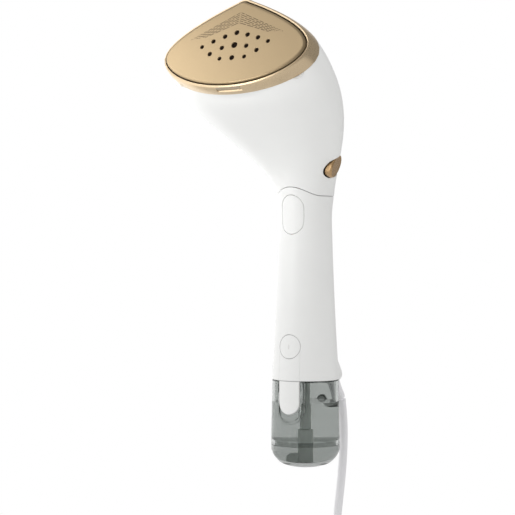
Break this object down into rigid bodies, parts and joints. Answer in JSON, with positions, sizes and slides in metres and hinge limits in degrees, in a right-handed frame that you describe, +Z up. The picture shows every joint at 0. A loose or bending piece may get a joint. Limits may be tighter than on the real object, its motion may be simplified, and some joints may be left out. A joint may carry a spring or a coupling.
{
  "type": "garment steamer",
  "caption": "Handheld garment steamer with an angled ironing plate, front trigger, side power button and a detachable water tank.",
  "frame": {"origin": "middle of the grip's round section, on the axis of the grip", "axes": "+Z up the grip towards the steam head, -Y the front that the steam plate and the trigger face, +X the side with the power button"},
  "size_m": [0.1366, 0.1815, 0.5782],
  "materials": {
    "white_shell": "satin",
    "white_part": "satin",
    "gold_plate": "satin metallic coating",
    "gold_trim": "metallic gloss",
    "bronze": "metallic satin",
    "smoke_tank": "translucent gloss",
    "clear_base": "translucent gloss",
    "rubber": "matt",
    "pale_rubber": "matt",
    "silicone": "matt",
    "cord_white": "satin",
    "grey_plastic": "matt",
    "black_plastic": "matt",
    "cast_aluminium": "as cast",
    "steel": "satin",
    "brass": "satin",
    "copper": "enamelled wire",
    "circuit_board": "lacquered"
  },
  "bodies": {
    "steamer": {"head_shell": "white_shell", "rear_spine": "white_shell", "handle_shell": "white_shell", "trigger_spring": "steel", "trigger_switch": "black_plastic", "latch_cover": "white_part", "tongue": "white_part", "lever_pin": "steel", "button_spring": "steel", "power_spring": "steel", "power_switch": "black_plastic", "soleplate": "gold_plate", "plate_seal": "rubber", "bezel": "gold_trim", "steam_chamber": "cast_aluminium", "chamber_gasket": "silicone", "chamber_cover": "cast_aluminium", "chamber_screw_1": "steel", "chamber_screw_2": "steel", "chamber_screw_3": "steel", "chamber_screw_4": "steel", "heating_element": "steel", "thermostat": "cast_aluminium", "thermal_fuse": "brass", "heat_shield": "steel", "check_valve": "brass", "pressure_tube": "silicone", "pump_body": "grey_plastic", "pump_coil": "copper", "suction_tube": "silicone", "chassis": "grey_plastic", "control_board": "circuit_board", "relay": "black_plastic", "capacitor": "black_plastic", "base_plate": "white_part", "tank_socket": "white_part", "socket_seal": "silicone", "strain_relief": "cord_white", "cord_gland": "grey_plastic", "cord": "cord_white", "cord_coil": "cord_white", "cord_tie": "black_plastic", "cord_tail": "cord_white", "plug_strain_relief": "cord_white", "plug_body": "cord_white", "plug_pin_1": "steel", "plug_pin_2": "steel"},
    "trigger": {"trigger": "white_part"},
    "release_button": {"release_button": "white_part"},
    "latch": {"latch_lever": "grey_plastic"},
    "power_button": {"power_button": "bronze"},
    "tank": {"tank_body": "smoke_tank", "tank_base": "clear_base", "tank_valve": "white_part", "dip_tube": "grey_plastic", "intake_filter": "grey_plastic"},
    "stopper": {"filler_stopper": "pale_rubber"}
  },
  "joints": [
    {"name": "trigger_pull", "type": "slide", "parent": "steamer", "child": "trigger", "axis": [0, 1, 0], "range_m": [0, 0.0025], "stiffness_N_per_m": 600, "springref_m": -0.001, "deforming": ["trigger_spring"]},
    {"name": "release_push", "type": "slide", "parent": "steamer", "child": "release_button", "axis": [0, 1, 0], "range_m": [0, 0.0022], "stiffness_N_per_m": 500, "springref_m": -0.001},
    {"name": "latch_tip", "type": "hinge", "parent": "steamer", "child": "latch", "pos_m": [0, -0.0185, -0.064], "axis": [-1, 0, 0], "range_deg": [0, 11.1], "deforming": ["button_spring"]},
    {"name": "power_push", "type": "slide", "parent": "steamer", "child": "power_button", "axis": [-0.881, -0.0501, 0.4705], "range_m": [0, 0.002], "stiffness_N_per_m": 500, "springref_m": -0.001, "deforming": ["power_spring"]},
    {"name": "tank_slide", "type": "slide", "parent": "steamer", "child": "tank", "axis": [0, 0, -1], "range_m": [0, 0.055]},
    {"name": "stopper_pull", "type": "slide", "parent": "tank", "child": "stopper", "axis": [0, 1, 0], "range_m": [0, 0.009]}
  ],
  "couplings": [
    {"joint": "latch_tip", "follows": "release_push", "rad_per_m": 87.3}
  ]
}
